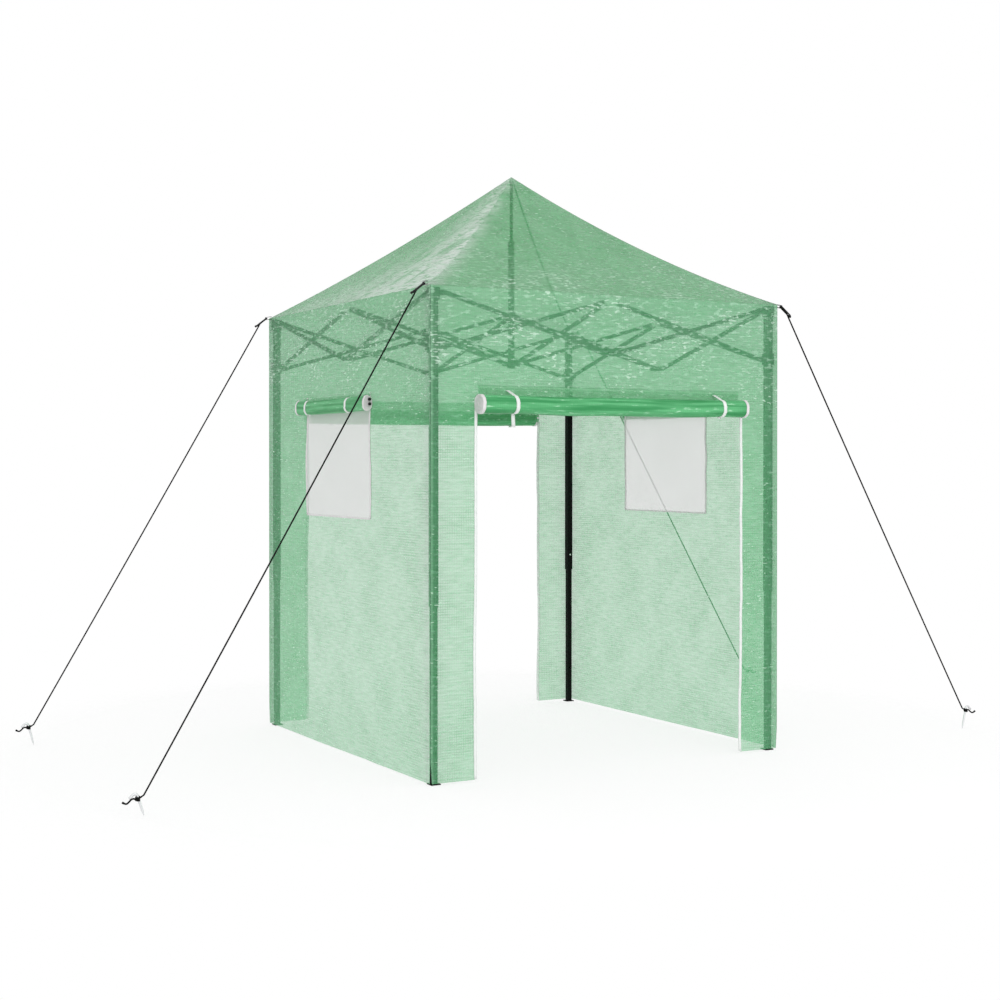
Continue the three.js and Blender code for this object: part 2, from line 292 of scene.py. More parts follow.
def film_colour(t, film, shade, welded, hemmed, moire):
    """The film's colour: each mark is laid over the ones before it."""
    r, g, b = shade
    colour = t.mix(film.cloud, rgb(r * 0.86, g * 0.93, b * 0.87), rgb(r * 1.14, g * 1.06, b * 1.12))
    colour = t.mix(film.thread, colour, rgb(r * 0.35, g * 0.62, b * 0.42))
    # painted shade in the crinkles: darker dashes, stronger on the creased upper walls
    crinkle_shade_strength = t.times_plus(film.busy, 0.14, 0.10)
    colour = t.mix(t.times(film.dark, crinkle_shade_strength), colour, rgb(r * 0.45, g * 0.68, b * 0.50))
    # painted highlights on the crinkles, in lighter green
    colour = t.mix(t.times(film.light, 0.34), colour, rgb(r * 2.6, g * 1.42, b * 2.1))
    colour = t.mix(t.times_plus(film.weft, -0.38, 0.38), colour, rgb(r * 0.62, g * 0.72, b * 0.68))
    colour = t.mix(t.times(film.weft, 0.15), colour, rgb(r * 2.6, g * 1.30, b * 2.1))
    # painted whitish sheen over the creased upper walls, strongest on the painted highlights
    veil = t.times_plus(film.light, 0.60, t.times_plus(film.patch, 0.16, 0.02))
    colour = t.mix(t.times(film.busy, veil), colour, rgb(0.52, 0.80, 0.60))
    if moire:
        bands = t.times(t.sheet_noise(film.uv, 2.2, 1.4, 0.0), 34.0)
        bands = t.ramp(t.math("PINGPONG", bands, 0.5), 0.25, 0.5)
        colour = t.mix(t.times(bands, moire), colour, rgb(r * 1.9, g * 1.3, b * 1.7))
    # painted reflection: whitish streaks along the roof's front left hip
    colour = t.mix(film.painted_reflection, colour, rgb(0.78, 0.84, 0.80))
    colour = t.mix(t.times(film.weld, welded), colour, rgb(0.42, 0.74, 0.50))
    stitched = t.times(film.seam, min(1.0, 0.6 + hemmed))
    colour = t.mix(stitched, colour, rgb(r * 0.5, g * 0.42, b * 0.5))
    return t.mix(t.times(film.glint, 0.85), colour, rgb(0.72, 0.93, 0.78))


def film_cover(t, film, opacity, welded, hemmed):
    """The share of the film that isn't clear: more on threads, seams, painted highlights, the painted
    reflection and glints.
    """
    cover = t.times_plus(film.thread, 0.35, opacity - 0.06)
    cover = t.times_plus(film.dark, -0.04, cover)
    cover = t.times_plus(film.weft, -0.05, t.math("ADD", cover, 0.025))
    cover = t.times_plus(film.light, t.times_plus(film.busy, 0.14, 0.10), cover)
    cover = t.times_plus(film.seam, hemmed, t.times_plus(film.weld, welded * 0.3, cover))
    cover = t.times_plus(film.painted_reflection, 0.2, cover)
    cover = t.times_plus(film.glint, 0.35, cover)
    return t.math("MINIMUM", cover, 1.0)


def sheet_material(name, opacity, shade, crease, welded, hemmed, moire):
    """Green film laminated on a woven scrim: translucent, semi-gloss and crinkled, with painted highlights and
    painted shade on its crinkles and a painted whitish reflection along one hip of the roof.
    welded and hemmed say how much its seams show, and moire how much its grid beats with itself."""
    t = Tree(name)
    film = Film(t)
    colour = film_colour(t, film, shade, welded, hemmed, moire)
    height = t.times_plus(film.light, 0.35, t.times_plus(film.thread, -0.5, film.crinkle))
    normal = t.bump(height, 0.55 * crease, 0.004)
    front = t.principled(
        Base_Color=colour,
        Roughness=t.times_plus(film.crinkle, 0.25, 0.16),
        Normal=normal,
        Specular_IOR_Level=0.5,
        Coat_Weight=0.1,
        Coat_Roughness=0.2,
    )
    cover = film_cover(t, film, opacity, welded, hemmed)
    return t.finish_sheet(cover, 0.42, front, colour, normal)


def rolled_material():
    """The same film rolled up: many layers, so it hides what is behind it."""
    t = Tree("rolled_sheet")
    uv = t.uv()
    lines = scrim(t, uv, GRID_PITCH, 0.16)
    wrap = t.sheet_noise(uv, 3.0, 60.0, 3.0)
    crinkle = t.sheet_noise(uv, 30.0, 140.0, 3.0)
    glint = t.times(t.ramp(crinkle, 0.56, 0.70), t.ramp(wrap, 0.45, 0.6))
    # darker where the wrap noise sinks the bump and lighter where it raises it: painted shade and painted
    # light over the lumps of the roll
    colour = t.mix(t.ramp(wrap, 0.35, 0.65), rgb(0.036, 0.26, 0.085), rgb(0.13, 0.48, 0.21))
    colour = t.mix(t.times(lines, 0.25), colour, rgb(0.035, 0.22, 0.075))
    colour = t.mix(t.times(glint, 0.75), colour, rgb(0.50, 0.82, 0.58))
    height = t.times_plus(wrap, 1.2, t.times_plus(lines, 0.1, crinkle))
    normal = t.bump(height, 0.6, 0.004)
    rough = t.times_plus(crinkle, 0.2, 0.3)
    return t.finish(t.principled(Base_Color=colour, Roughness=rough, Normal=normal, Specular_IOR_Level=0.18))


# ---------------------------------------------------------------- the other materials


def mesh_material():
    """White insect mesh: threads under two millimetres apart, seen as an even veil."""
    t = Tree("insect_mesh")
    uv = t.uv()
    lines = scrim(t, uv, 0.0016, 0.30)
    cloud = t.noise(uv, 6.0)
    colour = t.mix(cloud, rgb(0.77, 0.76, 0.765), rgb(0.85, 0.835, 0.845))
    normal = t.bump(t.math("ADD", lines, cloud), 0.35, 0.002)
    front = t.principled(Base_Color=colour, Roughness=0.75, Normal=normal)
    return t.finish_sheet(t.times_plus(lines, 0.22, 0.66), 0.5, front, colour, normal)


def tape_material(name, shaded, lit):
    """White woven binding: ribs across the tape and a little grey in the folds."""
    t = Tree(name)
    along = t.add("SeparateXYZ", {0: t.uv()}).outputs[0]
    rib = t.math("PINGPONG", t.math("DIVIDE", along, 0.0018), 0.5)
    shade = t.noise(t.place(), 60.0, 3.0)
    colour = t.mix(shade, shaded, lit)
    normal = t.bump(t.math("ADD", rib, shade), 0.5, 0.0008)
    return t.finish(t.principled(Base_Color=colour, Roughness=0.62, Normal=normal, Sheen_Weight=0.3))


def steel_material():
    """Black powder coat: orange-peel bump, and bare metal showing faintly where it rubs."""
    t = Tree("powder_coated_steel")
    at = t.place()
    peel = t.noise(at, 900.0)
    wear = t.noise(at, 24.0, 4.0)
    colour = t.mix(wear, rgb(0.001, 0.001, 0.001), rgb(0.004, 0.004, 0.004))
    edge = t.ramp(t.noise(at, 160.0, 3.0), 0.70, 0.78)
    colour = t.mix(t.times(edge, 0.12), colour, rgb(0.05, 0.05, 0.05))
    rough = t.times_plus(wear, 0.25, 0.35)
    normal = t.bump(peel, 0.25, 0.0006)
    return t.finish(t.principled(Base_Color=colour, Roughness=rough, Normal=normal, Specular_IOR_Level=0.10))


def moulded_material(name, dark, light, roughness, gloss):
    """Moulded plastic with a fine grain and faint flow marks."""
    t = Tree(name)
    at = t.place()
    grain = t.noise(at, 1400.0, 1.0)
    flow = t.noise(at, 40.0, 3.0)
    colour = t.mix(flow, dark, light)
    normal = t.bump(t.times_plus(flow, 0.4, grain), 0.3, 0.0005)
    rough = t.times_plus(flow, 0.15, roughness)
    return t.finish(t.principled(Base_Color=colour, Roughness=rough, Normal=normal, Specular_IOR_Level=gloss))


def metal_material(name, dull, bright, roughness):
    """Bare or galvanised steel with drawn streaks and spangle."""
    t = Tree(name)
    at = t.place()
    spangle = t.add("TexVoronoi", {"Vector": at, "Scale": 320.0}).outputs["Distance"]
    streak = t.noise(t.scaled(at, (220.0, 220.0, 12.0)), 1.0, 3.0)
    colour = t.mix(streak, dull, bright)
    rough = t.times_plus(spangle, 0.2, roughness)
    normal = t.bump(streak, 0.2, 0.0004)
    return t.finish(t.principled(Base_Color=colour, Roughness=rough, Normal=normal, Metallic=0.85))


def cord_material():
    """Black braided cord: diamond braid from two crossing waves."""
    t = Tree("braided_cord")
    parts = t.add("SeparateXYZ", {0: t.uv()})
    along = t.math("DIVIDE", parts.outputs[1], 0.006)
    around = t.times(parts.outputs[0], 4.0)
    one_way = t.math("PINGPONG", t.math("ADD", along, around), 0.5)
    other_way = t.math("PINGPONG", t.math("SUBTRACT", along, around), 0.5)
    braid = t.times(one_way, other_way)
    colour = t.mix(t.ramp(braid, 0.0, 0.2), rgb(0.001, 0.001, 0.001), rgb(0.008, 0.008, 0.008))
    normal = t.bump(braid, 0.9, 0.002)
    return t.finish(t.principled(Base_Color=colour, Roughness=0.75, Normal=normal, Specular_IOR_Level=0.12))


SHEET = sheet_material("cover_film", 0.625, (0.158, 0.556, 0.256), 1.0, 0.35, 0.15, 0.0)
ROOF_SHEET = sheet_material("roof_film", 0.68, (0.080, 0.425, 0.148), 1.9, 0.0, 0.5, 0.22)
ROLLED = rolled_material()
MESH = mesh_material()
WHITE = tape_material("white_tape", rgb(0.66, 0.70, 0.68), rgb(0.88, 0.90, 0.88))
END_TAPE = tape_material("rolled_edge_tape", rgb(0.58, 0.56, 0.57), rgb(0.80, 0.76, 0.78))
STEEL = steel_material()
BLACK = moulded_material("black_plastic", rgb(0.003, 0.003, 0.003), rgb(0.009, 0.009, 0.010), 0.45, 0.2)
# pale nylon that also carries a painted highlight, used on the top joints only
PALE = moulded_material("pale_nylon_highlit", rgb(0.84, 0.88, 0.85), rgb(0.92, 0.94, 0.92), 0.4, 0.5)
ZINC = metal_material("galvanised_steel", rgb(0.66, 0.67, 0.68), rgb(0.84, 0.85, 0.86), 0.42)
CHROME = metal_material("polished_steel", rgb(0.85, 0.85, 0.85), rgb(0.95, 0.95, 0.95), 0.2)
CORD = cord_material()

# ---------------------------------------------------------------- mesh helpers


def make(name, vertices, faces, material, uvs=None):
    """A smooth mesh object. uvs holds one (u, v) for each vertex, in metres along the material."""
    data = bpy.data.meshes.new(name)
    data.from_pydata([tuple(v) for v in vertices], [], [tuple(f) for f in faces])
    data.materials.append(material)
    layer = data.uv_layers.new(name="sheet")
    if uvs is not None:
        index = np.zeros(len(data.loops), np.int32)
        data.loops.foreach_get("vertex_index", index)
        layer.data.foreach_set("uv", np.array(uvs, np.float32)[index].ravel())
    data.polygons.foreach_set("use_smooth", [True] * len(data.polygons))
    data.update()
    obj = bpy.data.objects.new(name, data)
    bpy.context.scene.collection.objects.link(obj)
    return obj


def set_values(obj, name, values):
    """One number for each vertex, that a material reads by name."""
    attribute = obj.data.attributes.new(name, "FLOAT", "POINT")
    attribute.data.foreach_set("value", np.array(values, np.float32))


def turned(points, quarter):
    """Points turned about Z by that many quarter turns: side 0 is the front, 1 the right."""
    c, s = ((1, 0), (0, 1), (-1, 0), (0, -1))[quarter % 4]
    points = np.asarray(points, float)
    out = points.copy()
    out[:, 0] = points[:, 0] * c - points[:, 1] * s
    out[:, 1] = points[:, 0] * s + points[:, 1] * c
    return out


def fold_noise(x, y, z, scale, seed):
    """Smooth noise from about -1 to 1, with scale cells to the metre."""
    return noise.noise(Vector((x * scale + seed, y * scale - seed, z * scale + 0.7 * seed)))


def clamped(value):
    return min(1.0, max(0.0, value))


def turn_of(k, around):
    """The angle of point k of a ring."""
    return 2 * math.pi * k / around


def band_steps(low, high, step, bands=()):
    """Rising positions from low to high, about step apart, that include every band value."""
    marks = sorted({low, high, *[b for b in bands if low < b < high]})
    out = [low]
    for a, b in zip(marks, marks[1:]):
        count = max(1, round((b - a) / step))
        out += [a + (b - a) * (i + 1) / count for i in range(count)]
    return out


def sheet_faces(rows, columns):
    """Quads of a grid of rows x columns points, in row order."""
    return [
        (r * columns + c, r * columns + c + 1, (r + 1) * columns + c + 1, (r + 1) * columns + c)
        for r in range(rows - 1)
        for c in range(columns - 1)
    ]


def ring_faces(rings, around):
    """Quads between rings of points, in ring order."""
    faces = []
    for start in range(0, (rings - 1) * around, around):
        for k in range(around):
            after = (k + 1) % around
            faces.append((start + k, start + after, start + around + after, start + around + k))
    return faces


def tube(name, path, radius, material, sides=8, taper=None):
    """A round closed tube along a path of points, with a UV of (share round, metres along)."""
    path = [Vector(p) for p in path]
    points, uvs, length = [], [], 0.0
    up = Vector((0.0, 0.0, 1.0))
    first = (path[1] - path[0]).normalized()
    side = first.cross(up if abs(first.z) < 0.9 else Vector((1.0, 0.0, 0.0))).normalized()
    for i, p in enumerate(path):
        ahead = path[min(i + 1, len(path) - 1)] - path[max(i - 1, 0)]
        ahead.normalize()
        side = (side - ahead * side.dot(ahead)).normalized()
        lift = ahead.cross(side)
        if i:
            length += (p - path[i - 1]).length
        r = radius * (taper(i / (len(path) - 1)) if taper else 1.0)
        for k in range(sides):
            a = turn_of(k, sides)
            points.append(p + side * (r * math.cos(a)) + lift * (r * math.sin(a)))
            uvs.append((k / sides, length))
    faces = ring_faces(len(path), sides)
    faces.append(tuple(reversed(range(sides))))
    faces.append(tuple(range((len(path) - 1) * sides, len(path) * sides)))
    return make(name, points, faces, material, uvs)


def tape(name, path, across, out, thick, material):
    """A flat tape along a path. across and out give, for each point, its half width and its lift."""
    points, uvs, length = [], [], 0.0
    for i, p in enumerate(path):
        p = Vector(p)
        if i:
            length += (p - Vector(path[i - 1])).length
        a, o = Vector(across[i]), Vector(out[i]) * thick
        points += [p - a, p + a, p + a + o, p - a + o]
        uvs += [(length, 0.0), (length, 2 * a.length), (length, 2 * a.length), (length, 0.0)]
    last = 4 * (len(path) - 1)
    faces = ring_faces(len(path), 4) + [(3, 2, 1, 0), (last, last + 1, last + 2, last + 3)]
    return make(name, points, faces, material, uvs)


def join(name, pieces):
    """One piece from several meshes, keeping their materials."""
    bpy.ops.object.select_all(action="DESELECT")
    for piece in pieces:
        piece.select_set(True)
    bpy.context.view_layer.objects.active = pieces[0]
    bpy.ops.object.join()
    pieces[0].name = name
    pieces[0].data.name = name
    return pieces[0]


# ---------------------------------------------------------------- cover that follows the folding frame


def follow_frame(obj, with_pole=False):
    """Soft parts of the cover gather between the four legs, rise with their feet, and sink with the pole."""
    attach(obj, "hub")
    at = np.array([v.co for v in obj.data.vertices], float).reshape(-1, 3)
    share = np.clip(at[:, :2] / LEG_AT, -1, 1) / 2 + 0.5
    skirt = np.clip((SKIRT_TOP - at[:, 2]) / (SKIRT_TOP - HEM), 0, 1)
    weights = {}
    for corner in CORNERS:
        x = share[:, 0] if corner.endswith("right") else 1 - share[:, 0]
        y = share[:, 1] if corner.startswith("back") else 1 - share[:, 1]
        weights["leg_" + corner] = x * y * (1 - skirt)
        weights["lower_leg_" + corner] = x * y * skirt
    if with_pole:
        weights["pole"] = 1 - np.clip(np.abs(at[:, :2]).max(1) / (LEG_AT - BRACKET_REACH), 0, 1)
    for body, weight in weights.items():
        hook_to(obj, body, weight)


def hook_to(obj, body, weight, least=1e-6):
    """Moves each vertex with a body by its weight, where any vertex has one."""
    if weight.max() < least:
        return
    group = obj.vertex_groups.new(name=body)
    for i, w in enumerate(weight):
        if w > least:
            group.add([i], float(w), "REPLACE")
    hook = obj.modifiers.new(body, "HOOK")
    hook.vertex_group = body
    hook.falloff_type = "NONE"
    hook.object = frame["bodies"][body]
    hook.matrix_inverse = Matrix.Identity(4)


# ---------------------------------------------------------------- walls


def is_door(side):
    return side % 2 == 0


def piece_name(side, part):
    return f"{SIDES[side]}_{'door' if is_door(side) else 'window'}_{part}"


def opening_of(side):
    """The middle, half width, foot and top of a side's opening."""
    if is_door(side):
        return 0.0, DOOR_HALF, HEM, DOOR_TOP
    return WINDOW_MIDDLE.get(SIDES[side], 0.0), WINDOW_HALF, WINDOW_LOW, WINDOW_TOP


def wall_shape(u, z, side, free_edge):
    """How far the wall sheet stands out at (u, z): slack between the legs, tight at seams and legs."""
    seed = 3.1 * side + 1.7
    slack = math.cos(min(1.0, abs(u) / LEG_AT) * math.pi / 2)
    height = clamped((z - HEM) / (EAVE - HEM))
    wide = fold_noise(u, 0.0, z * 0.55, 2.6, seed)
    ripple = fold_noise(u, 0.0, z * 0.35, 9.0, seed + 5)
    crease = 1 - abs(fold_noise(u * 0.6, 0.3, z * 1.4, 7.0, seed + 9)) * 2
    amount = 0.0045 * wide * slack + 0.0022 * ripple * (1.0 - 0.7 * height) * slack
    amount += 0.0012 * crease * slack * math.sin(math.pi * height)
    amount += 0.006 * free_edge * fold_noise(u, 0.0, z, 4.5, seed + 2)
    return max(amount, -0.001 - 0.003 * slack)


def opening_wave(z, seed):
    """The sideways wander of an unsupported edge."""
    return 0.0062 * fold_noise(0.2, 0.0, z, 3.6, seed) + 0.0016 * fold_noise(0.5, 0.0, z, 16.0, seed)


def wall_point(side, u, z):
    """The place of a wall's point. The edges of the opening wander, and each corner is slit at its foot."""
    mid, half, low, high = opening_of(side)
    across = abs(u - mid)
    near, shift = 0.0, 0.0
    if low - EDGE_FADE < z < high + EDGE_FADE / 2 and across >= half - 1e-6:
        near = max(0.0, 1 - (across - half) / EDGE_REACH)
        seed = 11.0 * side + (4.0 if u > mid else 9.0)
        shift = opening_wave(z, seed) * near * clamped((high - z) / EDGE_FADE)
        shift *= 1.0 if is_door(side) else WINDOW_WAVE
    if abs(u) > HALF - CORNER_FLAP + 1e-6 and z < CORNER_SLIT:
        shift -= math.copysign(CORNER_SPREAD * (1 - z / CORNER_SLIT), u)
    out = wall_shape(u, z, side, near * (1.0 if is_door(side) else WINDOW_LOOSE))
    return (u + shift, -HALF - out, z)


def build_wall(side):
    """One wall as a single sheet with its opening, and the tape round that opening."""
    mid, half, low, high = opening_of(side)
    bands = (mid - half, mid + half, -HALF + CORNER_FLAP, HALF - CORNER_FLAP)
    us = band_steps(-HALF, HALF, SHEET_STEP, bands)
    zs = band_steps(HEM, EAVE, SHEET_STEP, (low, high))
    faces = []
    for i, face in enumerate(sheet_faces(len(zs), len(us))):
        row, column = divmod(i, len(us) - 1)
        u = (us[column] + us[column + 1]) / 2
        z = (zs[row] + zs[row + 1]) / 2
        if not (abs(u - mid) < half and low < z < high):
            faces.append(face)
    used = sorted({v for f in faces for v in f})
    renumber = {v: i for i, v in enumerate(used)}
    faces = [tuple(renumber[v] for v in f) for f in faces]
    grid = [(u, z) for z in zs for u in us]
    places = [grid[v] for v in used]
    points = turned([wall_point(side, u, z) for u, z in places], side)
    wall = make(f"{SIDES[side]}_wall_sheet", points, faces, SHEET, places)
    set_values(wall, "seam_distance", [HALF - abs(u) for u, _ in places])
    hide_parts(f"{SIDES[side]}_wall")
    follow_frame(wall)
    build_binding(side)


def build_binding(side):
    """The tape on the upright edges of an opening, and on a window's sill."""
    mid, half, low, high = opening_of(side)
    door = is_door(side)
    width = DOOR_TAPE if door else WINDOW_TAPE
    top = high if door else WINDOW_ROLL_Z + 0.03
    edges = []
    for sign in (-1, 1):
        path = [wall_point(side, mid + sign * half, z) for z in band_steps(low + 0.002, top, 0.012)]
        path = [(x - sign * width * 0.2, y, z) for x, y, z in path]
        edges.append(flat_tape(f"edge_{sign}", path, (width / 2, 0, 0), side))
    if not door:
        path = [wall_point(side, mid + u, low) for u in band_steps(-half, half, SHEET_STEP)]
        edges.append(flat_tape("sill", path, (0, 0, width / 4), side))
    follow_frame(join(piece_name(side, "binding"), edges))


def flat_tape(name, path, half_width, side):
    """Tape that lies on a wall and faces outwards."""
    path = turned([(x, y + TAPE_INSET, z) for x, y, z in path], side)
    across = turned([half_width] * len(path), side)
    out = turned([(0, -1, 0)] * len(path), side)
    return tape(name, path, across, out, TAPE_THICK, WHITE if is_door(side) else END_TAPE)


def build_window(side):
    """The insect mesh behind a window's binding, slightly slack."""
    mid, half, low, high = opening_of(side)
    us = band_steps(-half, half, SHEET_STEP)
    zs = band_steps(low, high, SHEET_STEP)
    uvs = [(u, z) for z in zs for u in us]
    points = []
    for u, z in uvs:
        belly = math.cos(u / half * math.pi / 2) * math.sin((z - low) / (high - low) * math.pi)
        x, y, _ = wall_point(side, mid + u, z)
        ripple = 0.0012 * fold_noise(u, 0.0, z, 12.0, 40 + side)
        points.append((x, y - 0.003 * belly - ripple, z))
    faces = sheet_faces(len(zs), len(us))
    panel = make(piece_name(side, "mesh"), turned(points, side), faces, MESH, uvs)
    follow_frame(panel)


# ---------------------------------------------------------------- rolled doors and windows


class Roll:
    """The shape of one side's rolled-up panel, which hangs outside its wall."""

    def __init__(self, side):
        self.side = side
        self.door = is_door(side)
        self.seed = 17.0 * side + 2.0
        if self.door:
            self.radius, self.flatness = DOOR_ROLL_RADIUS, 1.0
            self.mid_u, self.mid_z, self.half = DOOR_ROLL_MIDDLE, DOOR_ROLL_Z, DOOR_ROLL_HALF
            straps, self.strap_turn, self.flap = DOOR_STRAPS, DOOR_STRAP_TURN, DOOR_FLAP
        else:
            self.radius, self.flatness = WINDOW_ROLL_RADIUS, WINDOW_ROLL_FLATNESS
            self.mid_u = WINDOW_ROLL_MIDDLE.get(SIDES[side], 0.0)
            self.mid_z, self.half = WINDOW_ROLL_Z, WINDOW_ROLL_HALF
            straps, self.strap_turn, self.flap = WINDOW_STRAPS, WINDOW_STRAP_TURN, WINDOW_FLAP
        self.straps = [self.mid_u + s for s in straps]
        self.first = self.mid_u - self.half
        self.last = self.mid_u + self.half
        self.mid_y = -HALF - self.radius * self.flatness - 0.001

    def centre(self, u):
        """(y, z) of the roll's axis, which sags a little between its ends."""
        sag = -0.0025 * math.cos((u - self.mid_u) / self.half * math.pi / 2)
        sag += 0.0016 * fold_noise(u, 0.0, 0.0, 5.0, self.seed)
        return self.mid_y + 0.001 * fold_noise(u, 1.0, 0.0, 4.0, self.seed), self.mid_z + sag

    def reach(self, u, angle):
        """The roll's radius: squeezed at the straps, lumpy and pleated, and stepped where the panel laps."""
        c, s = math.cos(angle), math.sin(angle)
        squeeze = sum(math.exp(-(((u - at) / 0.014) ** 2)) for at in self.straps)
        lump = fold_noise(u * 0.8, c * 0.25, s * 0.25, 7.0, self.seed)
        pleat = fold_noise(u * 0.25, c * 0.6, s * 0.6, 9.0, self.seed + 3)
        lap = 0.0018 if 0.15 < (angle / (2 * math.pi)) % 1.0 < 0.55 else 0.0
        return (self.radius - 0.001) * (1 - 0.06 * squeeze) + 0.0014 * lump + 0.0012 * pleat - lap

    def surface(self, u, angle, lift=0.0):
        """The point at that angle round the roll, which starts on the wall's side and goes up."""
        y, z = self.centre(u)
        r = self.reach(u, angle) + lift
        return (u, y + r * self.flatness * math.cos(angle), z + r * math.sin(angle))


def build_roll(side):
    """A rolled-up panel hanging from its seam, with taped ends, and the straps that hold it up."""
    roll = Roll(side)
    build_roll_skin(roll)
    build_roll_flap(roll)
    ends = [rolled_end(f"end_{sign}", roll, u, sign) for sign, u in ((-1, roll.first), (1, roll.last))]
    follow_frame(join(piece_name(side, "roll_ends"), ends))
    build_ties(roll)
    if not roll.door:
        build_toggles(roll)


def build_roll_skin(roll):
    """The outer turn of the rolled panel."""
    angles = [turn_of(k, ROLL_AROUND) for k in range(ROLL_AROUND)]
    us = band_steps(roll.first, roll.last, 0.012, roll.straps)
    points = [roll.surface(u, a) for u in us for a in angles]
    uvs = [(u, a * roll.radius) for u in us for a in angles]
    faces = [(a, d, c, b) for a, b, c, d in ring_faces(len(us), ROLL_AROUND)]
    skin = make(piece_name(roll.side, "roll"), turned(points, roll.side), faces, ROLLED, uvs)
    follow_frame(skin)


def build_roll_flap(roll):
    """The single layer between the panel's top seam and its roll."""
    top_z = roll.mid_z + roll.radius + roll.flap
    us = band_steps(roll.first + 0.012, roll.last - 0.003, SHEET_STEP)
    zs = (roll.mid_z, roll.mid_z + roll.radius * 0.6, roll.mid_z + roll.radius, top_z)
    points = []
    for z, lift in zip(zs, (0.004, 0.005, 0.0035, 0.0015)):
        for u in us:
            points.append((u, -HALF - lift - 0.006 * abs(fold_noise(u, 0, z, 8.0, roll.seed)), z))
    uvs = [(u, z + 0.003) for z in zs for u in us]
    faces = sheet_faces(len(zs), len(us))
    flap = make(piece_name(roll.side, "flap"), turned(points, roll.side), faces, SHEET, uvs)
    stitched = 0.0007 if roll.door else SEAM
    set_values(flap, "seam_distance", [top_z - z + stitched for z in zs for _ in us])
    follow_frame(flap)


def rolled_end(name, roll, u, sign):
    """The taped end of a roll: a rim round it, and the edges of its turns seen end on."""
    around, rings = ROLL_AROUND, 9
    inner, outer = roll.surface(u, 0.0)[1], roll.surface(u, math.pi)[1]
    top, bottom = roll.surface(u, math.pi / 2)[2], roll.surface(u, -math.pi / 2)[2]
    core_y, core_z = (inner + outer) / 2, (top + bottom) / 2
    rim = ((-0.009, 0.0002), (-0.009, 0.0016), (0.0, 0.0016), (0.001, 0.0))  # along the roll, and out of it
    points = []
    for along, lift in rim:
        for k in range(around):
            _, y, z = roll.surface(u, turn_of(k, around), lift)
            points.append((u + sign * along, y, z))
    for ring in range(1, rings):
        share = 1 - ring / rings
        step = 0.0008 if ring % 2 else -0.0006
        for k in range(around):
            turn = turn_of(k, around)
            _, y, z = roll.surface(u, turn)
            along = step + 0.0006 * math.sin(turn + ring)
            points.append((u + sign * along, core_y + (y - core_y) * share, core_z + (z - core_z) * share))
    points.append((u - sign * 0.001, core_y, core_z))
    uvs = [(y, z) for _, y, z in points]
    rows = len(rim) + rings - 1
    inmost = (rows - 1) * around
    faces = ring_faces(rows, around)
    faces += [(inmost + k, inmost + (k + 1) % around, rows * around) for k in range(around)]
    if sign > 0:
        faces = [tuple(reversed(f)) for f in faces]
    return make(name, turned(points, roll.side), faces, END_TAPE, uvs)


def build_ties(roll):
    """The straps round a roll. A door's start at its seam, and the first one in front has a long tail."""
    side, radius = roll.side, roll.radius
    start, sweep = roll.strap_turn
    steps = 24
    tail_y = roll.mid_y + radius * 0.3
    bands = []
    for i, u in enumerate(roll.straps):
        angles = [math.radians(start + sweep * k / steps) for k in range(steps + 1)]
        path = [roll.surface(u, a, 0.0005) for a in angles]
        out = [(0, math.cos(a), math.sin(a)) for a in angles]
        _, z = roll.centre(u)
        drop = STRAP_TAIL if SIDES[side] == "front" and i == 0 else 0.004
        path += [(u, tail_y, z - radius - 0.003), (u + 0.002, tail_y, z - radius - drop)]
        out += [(0, -1, 0.1)] * 2
        if roll.door:
            path.insert(0, (u - 0.009, -HALF - 0.006, z + radius + 0.012))
            out.insert(0, (0, -1, 0.3))
        across = [(STRAP_HALF, 0, 0)] * len(path)
        path, across, out = (turned(points, side) for points in (path, across, out))
        bands.append(tape(f"band_{i}", path, across, out, STRAP_THICK, WHITE))
    follow_frame(join(piece_name(side, "tie_straps"), bands))


def barrel(t):
    """The radius of a toggle along its length, as a share of its widest."""
    return 0.55 + 0.45 * math.sin(math.pi * min(1.0, 0.12 + 0.76 * t))


def build_toggles(roll):
    """Two black cord toggles at the end of a window roll that is nearer the front."""
    on_left = SIDES[roll.side] == "left"
    sign = 1 if on_left else -1
    end = roll.last if on_left else roll.first
    y, z = roll.centre(end)
    parts = []
    for lift in (0.0105, -0.0035):
        path = [(end + sign * d, y + 0.004, z + lift) for d in (0.001, 0.003, 0.006, 0.009, 0.011)]
        parts.append(tube(f"toggle_{lift}", turned(path, roll.side), 0.0048, BLACK, 12, barrel))
    follow_frame(join(piece_name(roll.side, "cord_toggles"), parts))


# ---------------------------------------------------------------- roof


def roof_height(x, y):
    """Square pyramid that dips between eave and apex, more along the hips than mid-face."""
    r = max(abs(x), abs(y)) / HALF
    on_hip = min(abs(x), abs(y)) / max(abs(x), abs(y), 1e-6)
    uneven = 1 + 0.17 * (x - y) / (max(r, 1e-6) * HALF)
    dip = 4 * ROOF_SAG * r * (1 - r) * (0.72 + 0.5 * on_hip**3) * uneven
    return EAVE + (APEX - EAVE) * (1 - r) - dip


def roof_ripple(side, x, y, s, t):
    """Folds, ripples and the fan below the apex. s runs across a face from hip to hip, and t up it."""
    taut = math.sin(math.pi * t) * (1 - abs(s) ** 4)
    fold = fold_noise(s * 1.1, side * 3.0, t * 0.35, 5.0, 7.0)
    ripple = fold_noise(x, y, 0.0, 11.0, 3.0)
    fan = math.sin(s * 16 + 2.5 * side) * math.exp(-(((t - 0.82) / 0.2) ** 2))
    return taut * (0.006 * fold + 0.0022 * ripple + 0.0015 * fan)


def hip_seam(side, s, r):
    """Distance from a hip's seam. The front left one is hidden under the painted reflection."""
    from_hip = (1 - abs(s)) * r * HALF * 0.42
    under_reflection = (SIDES[side] == "left" and s > 0) or (SIDES[side] == "front" and s < 0)
    return max(from_hip, 0.003) if under_reflection else from_hip


